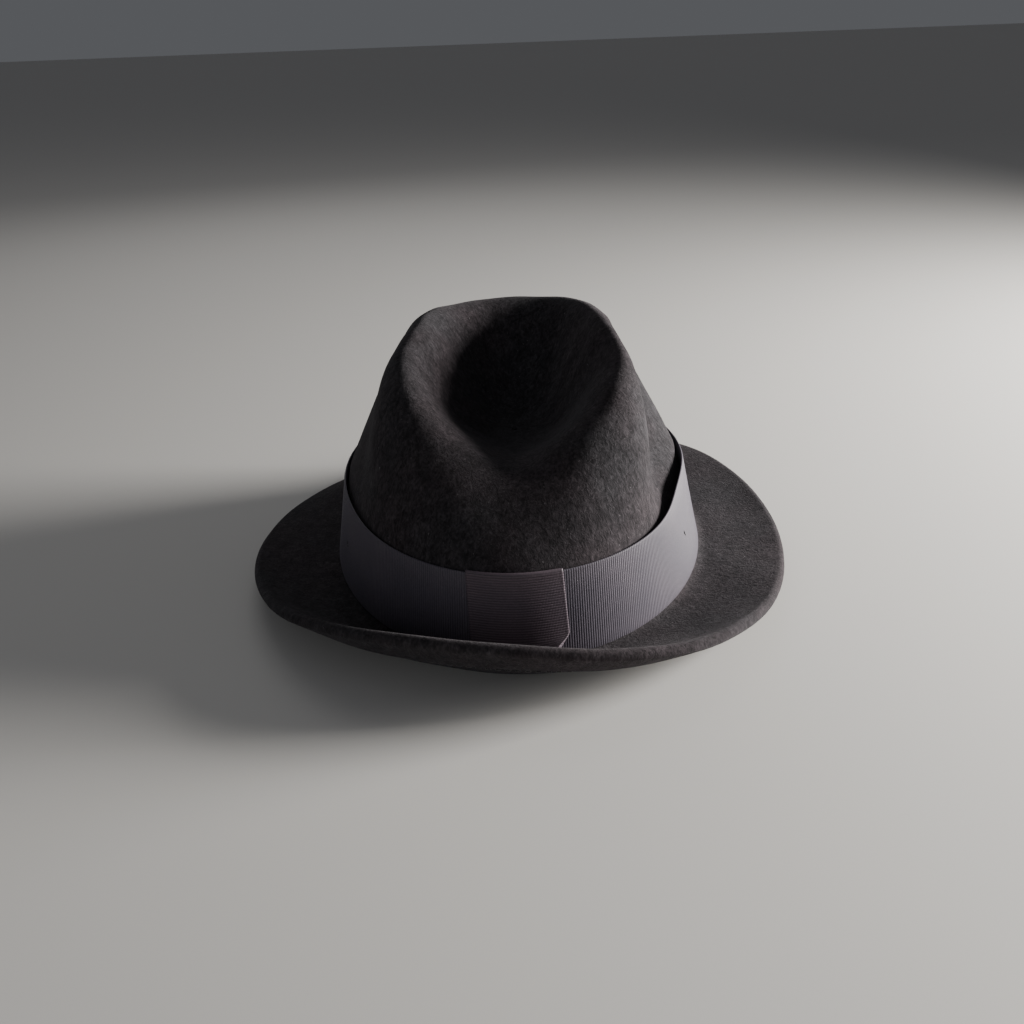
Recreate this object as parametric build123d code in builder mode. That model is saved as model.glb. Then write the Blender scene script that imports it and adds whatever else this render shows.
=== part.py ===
from build123d import *
import os
from math import cos, exp, hypot, pi, radians, sin, sqrt, tan

# Felt fedora with a teardrop crown, side pinches, a grosgrain band and a snap brim.
#
# The hat is described by one profile curve in each upright plane through the crown's axis.
# A place on that profile is a station, counted in nominal millimetres along the felt:
# negative on the brim, 0 at the break where brim and crown meet, positive up the crown.
# Every layer (felt, band, sweatband, lining, threads) is the same profile at its own depth,
# so the layers follow each other round the head.
#
# Frame: +X wearer's right, +Y front, +Z up, standing on Z = 0.

# ---- driving dimensions, in millimetres and degrees ----
HALF_WIDTH = 84.5  # crown oval at the break, outside of the felt
HALF_LENGTH = 101.0
OVAL_POWER = 1.95  # 2 is an ellipse, more is squarer
BAND_HEIGHT = 39.0
BAND_LEAN = 4.8  # how far the wall leans in over the band's height
FELT = 2.6
RIM = 5.0  # folded and stitched edge of the brim
WELT_WIDTH = 13.0

BRIM_WIDTH = 41.0
BRIM_LEVEL = 5.0  # rim height above the break, as harmonics of the azimuth
BRIM_FRONT_DROP = 18.5
BRIM_SIDE_ROLL = -3.3
BRIM_REAR_FLIP = 3.0
BRIM_RIGHT_LIFT = 1.0
BRIM_TWIST = 5.0
BRIM_CURL = 2.0  # 1 is a straight cone, more turns up later

# crest of the crown at 0, 45, 90, 135 and 180 degrees from the front
CREST_RADIUS = (63.5, 50.5, 44.5, 55.0, 58.0)
CREST_HEIGHT = (98.0, 102.5, 101.0, 87.0, 69.0)
CREST_NOTCH = 4.0  # the dent cuts the rear crest this much lower
CREST_NOTCH_SPREAD = 16.0
SHOULDER = 0.4  # the dome's shoulder, from 0 at the crest to 1 over the band's top
DENT_FLOOR = 56.0
DENT_RADIUS = 8.0
DENT_POWER = 1.5  # more makes the floor of the dent broader

# the pinches slant down to the rear: their middles, from the front, at the band and at the crest
PINCH_LOW = 112.0
PINCH_HIGH = 84.0
PINCH_SPREAD_FRONT = 26.0
PINCH_SPREAD_REAR = 22.0
PINCH_AT_BAND = 12.0
PINCH_ABOVE = 15.0
PINCH_LEFT = 0.25  # strength of the left pinch against the right one
BAND_CHORD = 5.0  # the band is pulled straight across each pinch

TILT = 4.26  # the hat leans back on its snapped-down front rim
LIFT = 9.82  # height of the break above the ground, on the crown's axis
CENTRE_X = -0.16  # these two put the origin under the middle of the hat's box
CENTRE_Y = -3.4

HINGE_Y = 111.0  # snap line of the front brim
HINGE_Z = -5.0
SNAP_TRAVEL = 50.0
SNAP_GAP = 0.6
NOTCH_TOP = 4.0  # the notch that the turned-up brim needs ends above the felt here

RIBBON = 0.8  # grosgrain and its clearance from the felt at the lower edge
RIBBON_STAND_OFF = 1.2
RIBBON_START = 3.2
KEEPER_GAP = 0.3
KEEPER_HALF_ANGLE = 12
TACK_AZIMUTHS = {"left": 207, "right": 333}

SWEATBAND_GAP = 0.5  # from the felt
LINING_GAP = 1.2
SWEATBAND = 0.9
SWEATBAND_TOP = 36.0
LINING = 0.4
REED_RADIUS = 1.1
THREAD_RADIUS = 0.35
THREAD_ROWS = {"outer": 12.5, "inner": 15.0}  # from the rim

# stations along the felt
S_EDGE = -BRIM_WIDTH
S_BREAK = 6.0  # half length of the rounded corner at the break
S_BAND = BAND_HEIGHT
S_CREST = 110.0
S_CENTRE = 165.0

STEP = 15  # degrees between two sections
QUADRANTS = [range(start, start + 90 + STEP, STEP) for start in range(0, 360, 90)]
EIGHTHS = [range(start, start + 45 + STEP, STEP) for start in range(0, 360, 45)]

HAT = Plane(
    origin=(CENTRE_X, CENTRE_Y, LIFT),
    x_dir=(1, 0, 0),
    z_dir=(0, -sin(radians(TILT)), cos(radians(TILT))),
)


# ---- the profile ----
def from_front(azimuth):
    """Angle from the front of the hat, 0 to 180, the same on both sides."""
    return abs((azimuth - 90 + 180) % 360 - 180)


def along_crest(values, azimuth):
    """Sum of cosines of the angle from the front, through five values 45 degrees apart."""
    angle = radians(from_front(azimuth))
    share = (0.5, 1, 1, 1, 0.5)
    total = 0
    for k in range(5):
        wave = sum(share[j] * values[j] * cos(k * j * pi / 4) for j in range(5)) / 2
        total += share[k] * wave * cos(k * angle)
    return total


def crest_top(azimuth):
    """Height of the crest, with the notch that the dent cuts at the rear."""
    notch = CREST_NOTCH * exp(-(((180 - from_front(azimuth)) / CREST_NOTCH_SPREAD) ** 2))
    return along_crest(CREST_HEIGHT, azimuth) - notch


def break_radius(azimuth):
    """Radius of the crown oval at the break."""
    across = abs(cos(radians(azimuth)) / HALF_WIDTH) ** OVAL_POWER
    along = abs(sin(radians(azimuth)) / HALF_LENGTH) ** OVAL_POWER
    return (across + along) ** (-1 / OVAL_POWER)


def pinch(azimuth, rise):
    """Strength of the side pinch, 1 at its middle, at a share of the way from band to crest."""
    off = from_front(azimuth) - PINCH_LOW - (PINCH_HIGH - PINCH_LOW) * rise
    off /= PINCH_SPREAD_REAR if off > 0 else PINCH_SPREAD_FRONT
    strength = 1 - (1 - PINCH_LEFT) * (1 - cos(radians(azimuth))) / 2
    return strength * exp(-(off**2))


def rim_height(azimuth):
    """Height of the rim above the break."""
    a = radians(azimuth)
    return (
        BRIM_LEVEL
        - BRIM_FRONT_DROP * sin(a)
        + BRIM_SIDE_ROLL * cos(2 * a)
        + BRIM_REAR_FLIP * sin(3 * a)
        + BRIM_RIGHT_LIFT * cos(a)
        + BRIM_TWIST * sin(2 * a)
    )


def rim_reach(azimuth):
    """Distance from the break out to the rim, in the upright plane."""
    level = sqrt(BRIM_WIDTH**2 - 1.15 * rim_height(azimuth) ** 2)
    turn = (break_radius(azimuth + 1) - break_radius(azimuth - 1)) / radians(2)
    return level * hypot(1, turn / break_radius(azimuth))


def raw_point(azimuth, station):
    """Outside of the felt with a sharp corner at the break."""
    base = break_radius(azimuth)
    if station <= 0:
        q = station / S_EDGE
        return base + rim_reach(azimuth) * q, rim_height(azimuth) * q**BRIM_CURL
    if station <= S_BAND:
        up = station / S_BAND
        return base - BAND_LEAN * up - PINCH_AT_BAND * pinch(azimuth, 0) * up**2, BAND_HEIGHT * up
    crest_r = along_crest(CREST_RADIUS, azimuth)
    crest_z = crest_top(azimuth)
    if station <= S_CREST:
        t = (station - S_BAND) / (S_CREST - S_BAND)
        rise = 1 - (1 - t) ** 2
        r = crest_r + (base - BAND_LEAN - crest_r) * ((1 - t) ** 2 + 2 * t * (1 - t) * SHOULDER)
        r -= pinch(azimuth, rise) * (PINCH_AT_BAND * (1 - rise) + PINCH_ABOVE * 4 * rise * (1 - rise))
        return r, BAND_HEIGHT + (crest_z - BAND_HEIGHT) * rise
    x = (S_CENTRE - station) / (S_CENTRE - S_CREST)
    slope = sin(pi / 2 * x**DENT_POWER) ** 2
    return DENT_RADIUS + (crest_r - DENT_RADIUS) * x, DENT_FLOOR + (crest_z - DENT_FLOOR) * slope


def outside(azimuth, station):
    """Outside of the felt, (radius, height), with the break rounded."""
    if abs(station) >= S_BREAK:
        return raw_point(azimuth, station)
    t = (station + S_BREAK) / (2 * S_BREAK)
    out_r, out_z = raw_point(azimuth, -S_BREAK)
    up_r, up_z = raw_point(azimuth, S_BREAK)
    corner_r = break_radius(azimuth)
    r = (1 - t) ** 2 * out_r + 2 * t * (1 - t) * corner_r + t**2 * up_r
    z = (1 - t) ** 2 * out_z + t**2 * up_z
    return r, z


def layer_point(azimuth, station, depth):
    """The point that lies depth inside the felt's outer face at a station."""
    r0, z0 = outside(azimuth, max(station - 0.5, S_EDGE))
    r1, z1 = outside(azimuth, min(station + 0.5, S_CENTRE))
    r, z = outside(azimuth, station)
    length = hypot(r1 - r0, z1 - z0)
    if station >= S_CENTRE:
        return r, z - depth
    return r - depth * (z1 - z0) / length, z + depth * (r1 - r0) / length


def underside_depth(station):
    """Felt thickness at a station: it grows to the folded rim."""
    t = max(0.0, min(1.0, (WELT_WIDTH + S_EDGE - station) / 5 + 0.5))
    return FELT + (RIM - FELT) * t * t * (3 - 2 * t)


def stations(start, end, count):
    """Evenly spaced stations."""
    return [start + (end - start) * i / (count - 1) for i in range(count)]


# ---- sections and rings ----
def radial_plane(azimuth):
    """Upright plane through the crown's axis: local X is outwards, local Y is up."""
    a = radians(azimuth)
    return Plane(
        origin=HAT.origin,
        x_dir=HAT.from_local_coords(Vector(cos(a), sin(a), 0)) - HAT.origin,
        z_dir=HAT.from_local_coords(Vector(sin(a), -cos(a), 0)) - HAT.origin,
    )


def smooth(points):
    """A spline through the points with even parameters, so that sections match."""
    last = len(points) - 1
    add(Edge.make_spline([Vector(*p) for p in points], parameters=[i / last for i in range(last + 1)]))


def layer_section(azimuth, places, top, bottom):
    """Closed section between two depths, each a function of the station."""
    outer = [layer_point(azimuth, s, top(s)) for s in places]
    inner = [layer_point(azimuth, s, bottom(s)) for s in reversed(places)]
    with BuildSketch(radial_plane(azimuth)) as section:
        with BuildLine():
            smooth(outer)
            Line(outer[-1], inner[0])
            smooth(inner)
            Line(inner[-1], outer[0])
        make_face()
    return section.sketch.face()


def layer_ring(places, top, bottom, arcs=QUADRANTS):
    """Loft a layer round the head, one quadrant at a time."""
    for arc in arcs:
        loft([layer_section(azimuth, places, top, bottom) for azimuth in arc])


def constant(value):
    """A depth that is the same at every station."""
    return lambda station: value


def outline_section(azimuth, corners):
    """Straight-sided section in an upright plane."""
    with BuildSketch(radial_plane(azimuth)) as section:
        Polygon(*corners, align=None)
    return section.sketch.face()


def thin_ring(places, depth, thickness):
    """Loft a thin layer of straight-sided sections round the head."""
    last = len(places) - 1
    for arc in QUADRANTS:
        sections = []
        for azimuth in arc:
            outer = [layer_point(azimuth, s, depth) for s in places]
            inner = []
            for i in range(last, -1, -1):
                r0, z0 = outer[max(i - 1, 0)]
                r1, z1 = outer[min(i + 1, last)]
                step = thickness / hypot(r1 - r0, z1 - z0)
                inner.append((outer[i][0] - step * (z1 - z0), outer[i][1] + step * (r1 - r0)))
            sections.append(outline_section(azimuth, outer + inner))
        loft(sections)


def cord_section(azimuth, station, depth, radius):
    """Six-sided section of a cord at a station."""
    with BuildSketch(radial_plane(azimuth)) as section:
        with Locations(layer_point(azimuth, station, depth)):
            RegularPolygon(radius, 6)
    return section.sketch.face()


def cord_ring(station, depth, radius):
    """A cord that runs round the hat at one station and depth."""
    for arc in EIGHTHS:
        loft([cord_section(azimuth, station, depth, radius) for azimuth in arc])


def centre_plug(depth, thickness, bite):
    """Round patch that closes a layer in the middle of the dent."""
    with BuildSketch(HAT.offset(DENT_FLOOR - depth - thickness + bite)) as patch:
        Circle(DENT_RADIUS + 2 * bite + 1)
    extrude(patch.sketch, amount=thickness - 2 * bite)


def snap_region(front):
    """Keep what lies ahead of the snap line, or what lies behind it."""
    far = 260.0
    sign = 1 if front else -1
    edge_y = HINGE_Y + sign * SNAP_GAP / 2
    top_y = edge_y + sign * (NOTCH_TOP - HINGE_Z) * tan(radians(SNAP_TRAVEL / 2 + 1))
    across = Plane(origin=HAT.origin, x_dir=HAT.y_dir, z_dir=HAT.x_dir)
    with BuildSketch(across) as side:
        Polygon(
            (edge_y, -far),
            (edge_y, HINGE_Z),
            (top_y, NOTCH_TOP),
            (HINGE_Y, NOTCH_TOP),
            (HINGE_Y, far),
            (HINGE_Y + sign * 2 * far, far),
            (HINGE_Y + sign * 2 * far, -far),
            align=None,
        )
    extrude(side.sketch, amount=far, both=True, mode=Mode.INTERSECT)


def band_place(azimuth, up, out):
    """A point on the hat band: up from its lower edge and out from its inner face."""
    base = break_radius(azimuth)
    low_r = base + RIBBON_STAND_OFF
    high_r = base - BAND_LEAN - BAND_CHORD * pinch(azimuth, 0) + RIBBON_STAND_OFF / 2
    rise = BAND_HEIGHT - RIBBON_START
    length = hypot(high_r - low_r, rise)
    up_r, up_z = (high_r - low_r) / length, rise / length
    return low_r + up * up_r + out * up_z, RIBBON_START + up * up_z - out * up_r


def band_length(azimuth):
    """Height of the hat band measured along the ribbon."""
    lean = BAND_LEAN + BAND_CHORD * pinch(azimuth, 0) + RIBBON_STAND_OFF / 2
    return hypot(lean, BAND_HEIGHT - RIBBON_START)


def band_section(azimuth):
    """Section of the hat band."""
    top = band_length(azimuth)
    corners = [(0, 0), (0, RIBBON), (top, RIBBON), (top, 0)]
    return outline_section(azimuth, [band_place(azimuth, *c) for c in corners])


def keeper_section(azimuth):
    """Section of the keeper: a face over the band and a fold over each edge of it."""
    top = band_length(azimuth)
    face = RIBBON + KEEPER_GAP
    corners = [
        (-RIBBON, 0),
        (-RIBBON, face + RIBBON),
        (top + RIBBON, face + RIBBON),
        (top + RIBBON, 0),
        (top + KEEPER_GAP, 0),
        (top + KEEPER_GAP, face),
        (-KEEPER_GAP, face),
        (-KEEPER_GAP, 0),
    ]
    return outline_section(azimuth, [band_place(azimuth, *c) for c in corners])


def inner_wall_plane(azimuth, station, depth):
    """Plane on the inside of the crown: local X runs round the head, local Z points at its axis."""
    r, z = layer_point(azimuth, station, depth)
    a = radians(azimuth)
    inward = HAT.from_local_coords(Vector(-cos(a), -sin(a), 0)) - HAT.origin
    sideways = HAT.from_local_coords(Vector(-sin(a), cos(a), 0)) - HAT.origin
    return Plane(
        origin=HAT.from_local_coords(Vector(r * cos(a), r * sin(a), z)),
        x_dir=-sideways,
        z_dir=inward,
    )


# ---- felt ----
FELT_STATIONS = (
    stations(S_EDGE, -10, 7)
    + [-6.0, -2.0, 2.0, 6.0]
    + stations(14, S_BAND, 4)
    + stations(50, S_CREST, 6)
    + stations(119, S_CENTRE, 6)
)

with BuildPart() as felt_blank:
    layer_ring(FELT_STATIONS, constant(0), underside_depth)
    centre_plug(0, FELT, 0.4)

with BuildPart() as felt_body:
    add(felt_blank.part)
    snap_region(front=False)
felt_body.part.label = "felt_body"

with BuildPart() as brim_front:
    add(felt_blank.part)
    snap_region(front=True)
brim_front.part.label = "brim_front"

# ---- hat band ----
with BuildPart() as ribbon_band:
    for arc in QUADRANTS:
        loft([band_section(azimuth) for azimuth in arc])
ribbon_band.part.label = "ribbon_band"

with BuildPart() as ribbon_keeper:
    keeper_arc = range(270 - KEEPER_HALF_ANGLE, 270 + KEEPER_HALF_ANGLE + 1, KEEPER_HALF_ANGLE // 2)
    loft([keeper_section(azimuth) for azimuth in keeper_arc])
ribbon_keeper.part.label = "ribbon_keeper"

TACK_LENGTH = 2.4
tacks = []
for side, azimuth in TACK_AZIMUTHS.items():
    with BuildPart() as ribbon_tack:
        middle = band_length(azimuth) / 2
        low, high = middle - TACK_LENGTH / 2, middle + TACK_LENGTH / 2
        near, far = 0, RIBBON + THREAD_RADIUS
        with BuildSketch(radial_plane(azimuth)) as tack_side:
            Polygon(
                *[band_place(azimuth, *c) for c in ((low, near), (low, far), (high, far), (high, near))],
                align=None,
            )
        extrude(tack_side.sketch, amount=THREAD_RADIUS, both=True)
    ribbon_tack.part.label = f"ribbon_tack_{side}"
    tacks.append(ribbon_tack)

# ---- sweatband ----
INSIDE = FELT + SWEATBAND_GAP
with BuildPart() as sweatband:
    layer_ring(stations(5.0, SWEATBAND_TOP, 5), constant(INSIDE), constant(INSIDE + SWEATBAND))
sweatband.part.label = "sweatband"

with BuildPart() as sweatband_reed:
    cord_ring(3.4, INSIDE + REED_RADIUS, REED_RADIUS)
sweatband_reed.part.label = "sweatband_reed"

with BuildPart() as sweatband_stitching:
    cord_ring(7.0, INSIDE + SWEATBAND, THREAD_RADIUS)
sweatband_stitching.part.label = "sweatband_stitching"

BOW_LOOP = 4.6
BOW_THICKNESS = 1.6
with BuildPart() as sweatband_bow:
    with BuildSketch(inner_wall_plane(270, 14.0, INSIDE + SWEATBAND + 1.0)) as bow_face:
        with Locations((-BOW_LOOP, 0), (BOW_LOOP, 0)):
            Ellipse(BOW_LOOP, BOW_LOOP / 2)
            Ellipse(BOW_LOOP * 0.68, BOW_LOOP * 0.24, mode=Mode.SUBTRACT)
        RectangleRounded(3.0, 3.6, 0.8)
        with Locations((-3.2, -3.6), (3.2, -3.6)):
            Rectangle(1.8, 5.5)
    extrude(amount=BOW_THICKNESS)
sweatband_bow.part.label = "sweatband_bow"

with BuildPart() as size_label:
    label_depth = INSIDE + SWEATBAND + 0.1
    layer_ring(
        stations(16.0, 26.0, 3), constant(label_depth), constant(label_depth + LINING), [range(236, 249, 4)]
    )
size_label.part.label = "size_label"

# ---- lining ----
S_PIPING = 79.0
S_RIDGE = 125.0  # the lining stretches straight from its piping to here, under the crest
PIPING_RADIUS = 0.6
UNDER_FELT = FELT + LINING_GAP
with BuildPart() as lining_side:
    thin_ring(stations(SWEATBAND_TOP + 2, S_PIPING - 1, 12), UNDER_FELT, LINING)
lining_side.part.label = "lining_side"

with BuildPart() as lining_tip:
    thin_ring([S_PIPING + 1] + stations(S_RIDGE, S_CENTRE, 10), UNDER_FELT, LINING)
    centre_plug(UNDER_FELT, LINING, 0.08)
lining_tip.part.label = "lining_tip"

with BuildPart() as lining_piping:
    cord_ring(S_PIPING, UNDER_FELT + LINING + PIPING_RADIUS, PIPING_RADIUS)
lining_piping.part.label = "lining_piping"

# ---- threads along the brim ----
brim_threads = []
for row, from_rim in THREAD_ROWS.items():
    row_station = S_EDGE + from_rim
    row_depth = underside_depth(row_station)
    with BuildPart() as thread_blank:
        cord_ring(row_station, row_depth, THREAD_RADIUS)
    for name, front in (("brim_thread", False), ("brim_front_thread", True)):
        with BuildPart() as brim_thread:
            add(thread_blank.part)
            snap_region(front)
        brim_thread.part.label = f"{name}_{row}"
        brim_threads.append(brim_thread)

# ---- hand over ----
PARTS = [
    felt_body,
    brim_front,
    ribbon_band,
    ribbon_keeper,
    sweatband,
    sweatband_reed,
    sweatband_stitching,
    sweatband_bow,
    size_label,
    lining_side,
    lining_tip,
    lining_piping,
    *tacks,
    *brim_threads,
]

os.makedirs("parts", exist_ok=True)
for piece in PARTS:
    export_step(piece.part, f"parts/{piece.part.label}.step")
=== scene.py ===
"""Felt fedora: the visible pieces, their materials and a plain studio."""

import math

import bpy
import numpy as np
from bpy.props import FloatProperty, FloatVectorProperty, IntProperty, PointerProperty
from bpy.types import Operator, Panel, PropertyGroup
from mathutils import Matrix, Vector


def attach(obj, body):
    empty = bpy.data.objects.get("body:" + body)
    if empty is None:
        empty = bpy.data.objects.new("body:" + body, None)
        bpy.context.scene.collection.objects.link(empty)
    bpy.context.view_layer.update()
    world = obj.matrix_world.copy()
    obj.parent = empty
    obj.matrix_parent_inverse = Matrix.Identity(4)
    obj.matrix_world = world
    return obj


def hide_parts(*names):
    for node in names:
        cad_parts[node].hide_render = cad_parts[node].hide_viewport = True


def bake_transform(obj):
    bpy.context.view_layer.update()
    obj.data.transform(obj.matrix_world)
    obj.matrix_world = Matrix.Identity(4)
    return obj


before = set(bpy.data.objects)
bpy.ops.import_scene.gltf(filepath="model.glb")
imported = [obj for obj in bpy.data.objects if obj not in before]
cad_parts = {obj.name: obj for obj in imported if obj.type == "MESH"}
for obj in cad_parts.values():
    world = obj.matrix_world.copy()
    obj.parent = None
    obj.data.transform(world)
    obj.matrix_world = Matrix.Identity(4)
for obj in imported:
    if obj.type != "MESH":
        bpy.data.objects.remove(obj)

bl_info = {
    "name": "Felt Fedora",
    "version": (1, 0, 0),
    "blender": (4, 5, 0),
    "location": "View3D > Sidebar > Hat",
    "description": "Builds a felt fedora with a grosgrain band, sweatband and lining",
    "category": "Add Mesh",
}

ROOT = "root"
MM = 0.001
TURN = 2 * np.pi

# ---- driving sizes shared by every layer, in metres and radians ----
HALF_WIDTH = 84.5 * MM
HALF_LENGTH = 101.0 * MM
OVAL_POWER = 1.95
BAND_HEIGHT = 39.0 * MM
BAND_LEAN = 4.8 * MM
FELT = 2.6 * MM
RIM = 5.0 * MM
WELT_WIDTH = 13.0 * MM
BRIM_WIDTH = 41.0 * MM

# rim height above the break: level, front drop, side roll, rear flip, right lift, twist
RIM_WAVES = np.array([5.0, -18.5, -3.3, 3.0, 1.0, 5.0]) * MM
BRIM_CURL = 2.0

# crest of the crown at 0, 45, 90, 135 and 180 degrees from the front
CREST_RADIUS = np.array([63.5, 50.5, 44.5, 55.0, 58.0]) * MM
CREST_HEIGHT = np.array([98.0, 102.5, 101.0, 87.0, 69.0]) * MM
CREST_NOTCH = 4.0 * MM  # the dent cuts the rear crest this much lower
NOTCH_SPREAD = math.radians(16)
SHOULDER = 0.4  # where the dome's shoulder lies, from 0 at the crest to 1 over the band's top
DENT_FLOOR = 56.0 * MM
DENT_POWER = 1.5  # more makes the floor of the dent broader

# the pinches slant down to the rear: their middles, from the front, at the band and at the crest
PINCH_LOW = math.radians(112)
PINCH_HIGH = math.radians(84)
PINCH_SPREAD = (math.radians(26), math.radians(22))  # towards the front and the rear
PINCH_AT_BAND = 12.0 * MM
PINCH_ABOVE = 15.0 * MM
PINCH_LEFT = 0.25  # strength of the left pinch against the right one
BAND_CHORD = 5.0 * MM

# stations: nominal metres along the felt, negative on the brim, 0 at the break
S_EDGE = -BRIM_WIDTH
S_BREAK = 6.0 * MM
S_BAND = BAND_HEIGHT
S_CREST = 110.0 * MM
S_CENTRE = 165.0 * MM
POLE_GAP = 1.2 * MM  # the last ring round the middle of the dent

# the hat leans back on its snapped-down front rim
TILT = math.radians(4.26)
HAT_ORIGIN = np.array([-0.16, -3.4, 9.82]) * MM
HAT_AXES = np.array(
    [
        [1, 0, 0],
        [0, math.cos(TILT), math.sin(TILT)],
        [0, -math.sin(TILT), math.cos(TILT)],
    ]
)


# -------------------- shape of the hat
def smooth_step(low, high, x):
    """0 below low, 1 above high, 3t^2 - 2t^3 between."""
    t = np.clip((x - low) / (high - low), 0, 1)
    return t * t * (3 - 2 * t)


def from_front(azimuth):
    """Angle from the front of the hat, 0 to pi, the same on both sides."""
    return np.abs((azimuth - np.pi / 2 + np.pi) % TURN - np.pi)


def round_crest(values, azimuth):
    """Sum of cos(k * angle from the front), k = 0 to 4, through five values 45 degrees apart."""
    corners = np.arange(5) * np.pi / 4
    waves = np.linalg.solve(np.cos(np.outer(corners, np.arange(5))), values)
    angle = from_front(azimuth)
    return sum(wave * np.cos(k * angle) for k, wave in enumerate(waves))


def crest_top(azimuth):
    """Height of the crest, less exp(-(angle from the rear / spread)^2) where the dent cuts it."""
    notch = CREST_NOTCH * np.exp(-(((np.pi - from_front(azimuth)) / NOTCH_SPREAD) ** 2))
    return round_crest(CREST_HEIGHT, azimuth) - notch


def break_radius(azimuth):
    """Superellipse radius of the crown oval: (|cos|/a)^n + (|sin|/b)^n, to the power -1/n."""
    across = np.abs(np.cos(azimuth) / HALF_WIDTH) ** OVAL_POWER
    along = np.abs(np.sin(azimuth) / HALF_LENGTH) ** OVAL_POWER
    return (across + along) ** (-1 / OVAL_POWER)


def pinch(azimuth, rise):
    """Bell curve exp(-(angle / spread)^2) round the pinch's middle, weaker on the left."""
    middle = PINCH_LOW + (PINCH_HIGH - PINCH_LOW) * rise
    off = from_front(azimuth) - middle
    off = off / np.where(off > 0, PINCH_SPREAD[1], PINCH_SPREAD[0])
    strength = 1 - (1 - PINCH_LEFT) * (1 - np.cos(azimuth)) / 2
    return strength * np.exp(-(off**2))


def rim_height(azimuth):
    """Rim height above the break: a sum of low harmonics of the azimuth."""
    level, drop, roll, flip, lift, twist = RIM_WAVES
    return (
        level
        + drop * np.sin(azimuth)
        + roll * np.cos(2 * azimuth)
        + flip * np.sin(3 * azimuth)
        + lift * np.cos(azimuth)
        + twist * np.sin(2 * azimuth)
    )


def rim_reach(azimuth):
    """Level distance from the break to the rim: sqrt(width^2 - 1.15 height^2), across the oval."""
    step = 0.01
    turn = (break_radius(azimuth + step) - break_radius(azimuth - step)) / (2 * step)
    level = np.sqrt(BRIM_WIDTH**2 - 1.15 * rim_height(azimuth) ** 2)
    return level * np.hypot(1, turn / break_radius(azimuth))


def brim_line(azimuth, station):
    """Brim: the radius grows evenly with the distance q from the break, the height as q squared."""
    q = station / S_EDGE
    radius = break_radius(azimuth) + rim_reach(azimuth) * q
    return radius, rim_height(azimuth) * np.abs(q) ** BRIM_CURL


def wall_line(azimuth, station):
    """Wall under the band: a straight lean, and a pinch that grows with the square of height."""
    up = station / S_BAND
    dip = PINCH_AT_BAND * pinch(azimuth, 0)
    return break_radius(azimuth) - BAND_LEAN * up - dip * up**2, BAND_HEIGHT * up


def dome_line(azimuth, station):
    """Dome: (1-t)^2, 2t(1-t), t^2 mix of band top, shoulder and crest, less the pinch."""
    t = (station - S_BAND) / (S_CREST - S_BAND)
    rise = 1 - (1 - t) ** 2
    crest = round_crest(CREST_RADIUS, azimuth)
    top = crest_top(azimuth)
    share = (1 - t) ** 2 + 2 * t * (1 - t) * SHOULDER
    radius = crest + (break_radius(azimuth) - BAND_LEAN - crest) * share
    squeeze = pinch(azimuth, rise)
    radius = radius - squeeze * (PINCH_AT_BAND * (1 - rise) + PINCH_ABOVE * 4 * rise * (1 - rise))
    return radius, BAND_HEIGHT + (top - BAND_HEIGHT) * rise


def dent_line(azimuth, station):
    """Dent: a bowl, sin^2(pi/2 x^power) between floor and crest, x from 0 in the middle to 1."""
    x = np.clip((S_CENTRE - station) / (S_CENTRE - S_CREST), 0, 1)
    crest = round_crest(CREST_RADIUS, azimuth)
    top = crest_top(azimuth)
    bowl = np.sin(np.pi / 2 * x**DENT_POWER) ** 2
    return crest * x, DENT_FLOOR + (top - DENT_FLOOR) * bowl


def felt_line(azimuth, station):
    """Outside of the felt: brim, wall, dome and dent, with a rounded corner at the break."""
    azimuth, station = np.broadcast_arrays(azimuth, station)
    radius, height = brim_line(azimuth, np.minimum(station, 0))
    for start, line in ((0, wall_line), (S_BAND, dome_line), (S_CREST, dent_line)):
        r, z = line(azimuth, np.maximum(station, start))
        radius = np.where(station > start, r, radius)
        height = np.where(station > start, z, height)
    # quadratic curve between the two ends of the corner, pulled to the corner itself
    t = (station + S_BREAK) / (2 * S_BREAK)
    out_r, out_z = brim_line(azimuth, np.full_like(station, -S_BREAK))
    up_r, up_z = wall_line(azimuth, np.full_like(station, S_BREAK))
    corner_r = (1 - t) ** 2 * out_r + 2 * t * (1 - t) * break_radius(azimuth) + t**2 * up_r
    corner_z = (1 - t) ** 2 * out_z + t**2 * up_z
    near = np.abs(station) < S_BREAK
    return np.where(near, corner_r, radius), np.where(near, corner_z, height)


def to_world(radius, azimuth, height):
    """Turn radius, azimuth and height about the crown's axis into points of the frame."""
    local = np.stack([radius * np.cos(azimuth), radius * np.sin(azimuth), height], -1)
    return HAT_ORIGIN + local @ HAT_AXES


def felt_point(azimuth, station):
    """Point on the outside of the felt."""
    radius, height = felt_line(azimuth, station)
    return to_world(radius, azimuth, height)


def unit(v):
    """Vectors at length 1."""
    return v / np.maximum(np.linalg.norm(v, axis=-1, keepdims=True), 1e-12)


def felt_normal(azimuth, station):
    """Direction into the felt: cross product of the two slopes of the surface."""
    step = 0.4 * MM
    azimuth, station = np.broadcast_arrays(azimuth, station)
    along = felt_point(azimuth, station + step) - felt_point(azimuth, station - step)
    around = felt_point(azimuth + 0.004, station) - felt_point(azimuth - 0.004, station)
    return unit(np.cross(along, around))


def layer_point(azimuth, station, depth):
    """Point at a depth inside the outer face of the felt."""
    depth = np.asarray(depth)[..., None]
    return felt_point(azimuth, station) + felt_normal(azimuth, station) * depth


def run_along(azimuth, station, depth, step):
    """Step round the hat at a station and depth, over twice the step in azimuth."""
    return layer_point(azimuth + step, station, depth) - layer_point(azimuth - step, station, depth)


def underside_depth(station):
    """Felt thickness: it grows to the folded rim."""
    return FELT + (RIM - FELT) * smooth_step(-2.5 * MM, 2.5 * MM, WELT_WIDTH + S_EDGE - station)


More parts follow.
